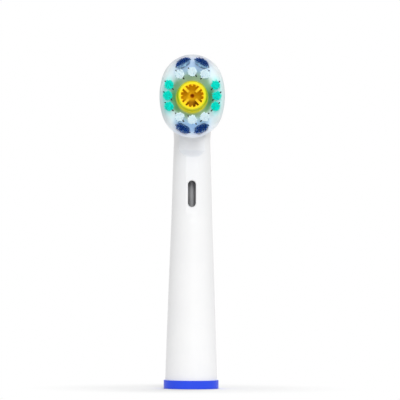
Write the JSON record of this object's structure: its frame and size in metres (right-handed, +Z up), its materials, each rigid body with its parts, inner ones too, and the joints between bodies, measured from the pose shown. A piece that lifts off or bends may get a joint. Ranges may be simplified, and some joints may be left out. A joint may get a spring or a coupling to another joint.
{
  "type": "electric toothbrush head",
  "caption": "Oscillating brush head: hollow tapered neck, clear oval bristle plate with polishing cup and coloured tufts, crank drive inside and a clip-on colour ring.",
  "frame": {"origin": "centre of the round base, on the neck's axis, in the plane that the head stands on", "axes": "+Z up the neck towards the bristle plate, -Y the side that the bristles face, +X to the right as seen from the bristle side"},
  "size_m": [0.0152, 0.0204, 0.0771],
  "materials": {
    "white_plastic": "satin",
    "ring_blue": "satin",
    "natural_plastic": "satin",
    "clear_plastic": "gloss",
    "soft_yellow": "matte",
    "steel": "satin",
    "anchor_metal": "satin",
    "blue_filament": "satin",
    "white_filament": "satin",
    "teal_filament": "satin"
  },
  "bodies": {
    "neck": {"neck_housing": "white_plastic", "colour_ring": "ring_blue", "pivot_pin": "steel", "retaining_collar": "natural_plastic"},
    "drive": {"drive_coupling": "natural_plastic", "coupling_spring": "steel", "drive_rod": "steel"},
    "carrier": {"bristle_carrier": "clear_plastic", "polishing_cup": "soft_yellow", "tuft_anchors": "anchor_metal", "blue_tuft_1": "blue_filament", "blue_tuft_2": "blue_filament", "blue_tuft_3": "blue_filament", "blue_tuft_4": "blue_filament", "white_tuft_1": "white_filament", "white_tuft_2": "white_filament", "white_tuft_3": "white_filament", "white_tuft_4": "white_filament", "white_tuft_5": "white_filament", "white_tuft_6": "white_filament", "teal_tuft_1": "teal_filament", "teal_tuft_2": "teal_filament", "teal_tuft_3": "teal_filament", "teal_tuft_4": "teal_filament", "teal_tuft_5": "teal_filament", "teal_tuft_6": "teal_filament"}
  },
  "joints": [
    {"name": "drive_turn", "type": "hinge", "parent": "neck", "child": "drive", "pos_m": [0, 0, 0.04], "axis": [0, 0, 1], "range_deg": [-30, 30]},
    {"name": "carrier_turn", "type": "hinge", "parent": "neck", "child": "carrier", "pos_m": [0, -0.0033, 0.0675], "axis": [0, -1, 0], "range_deg": [-22.5, 22.5]}
  ],
  "couplings": [
    {"joint": "carrier_turn", "follows": "drive_turn", "ratio": 0.75}
  ]
}
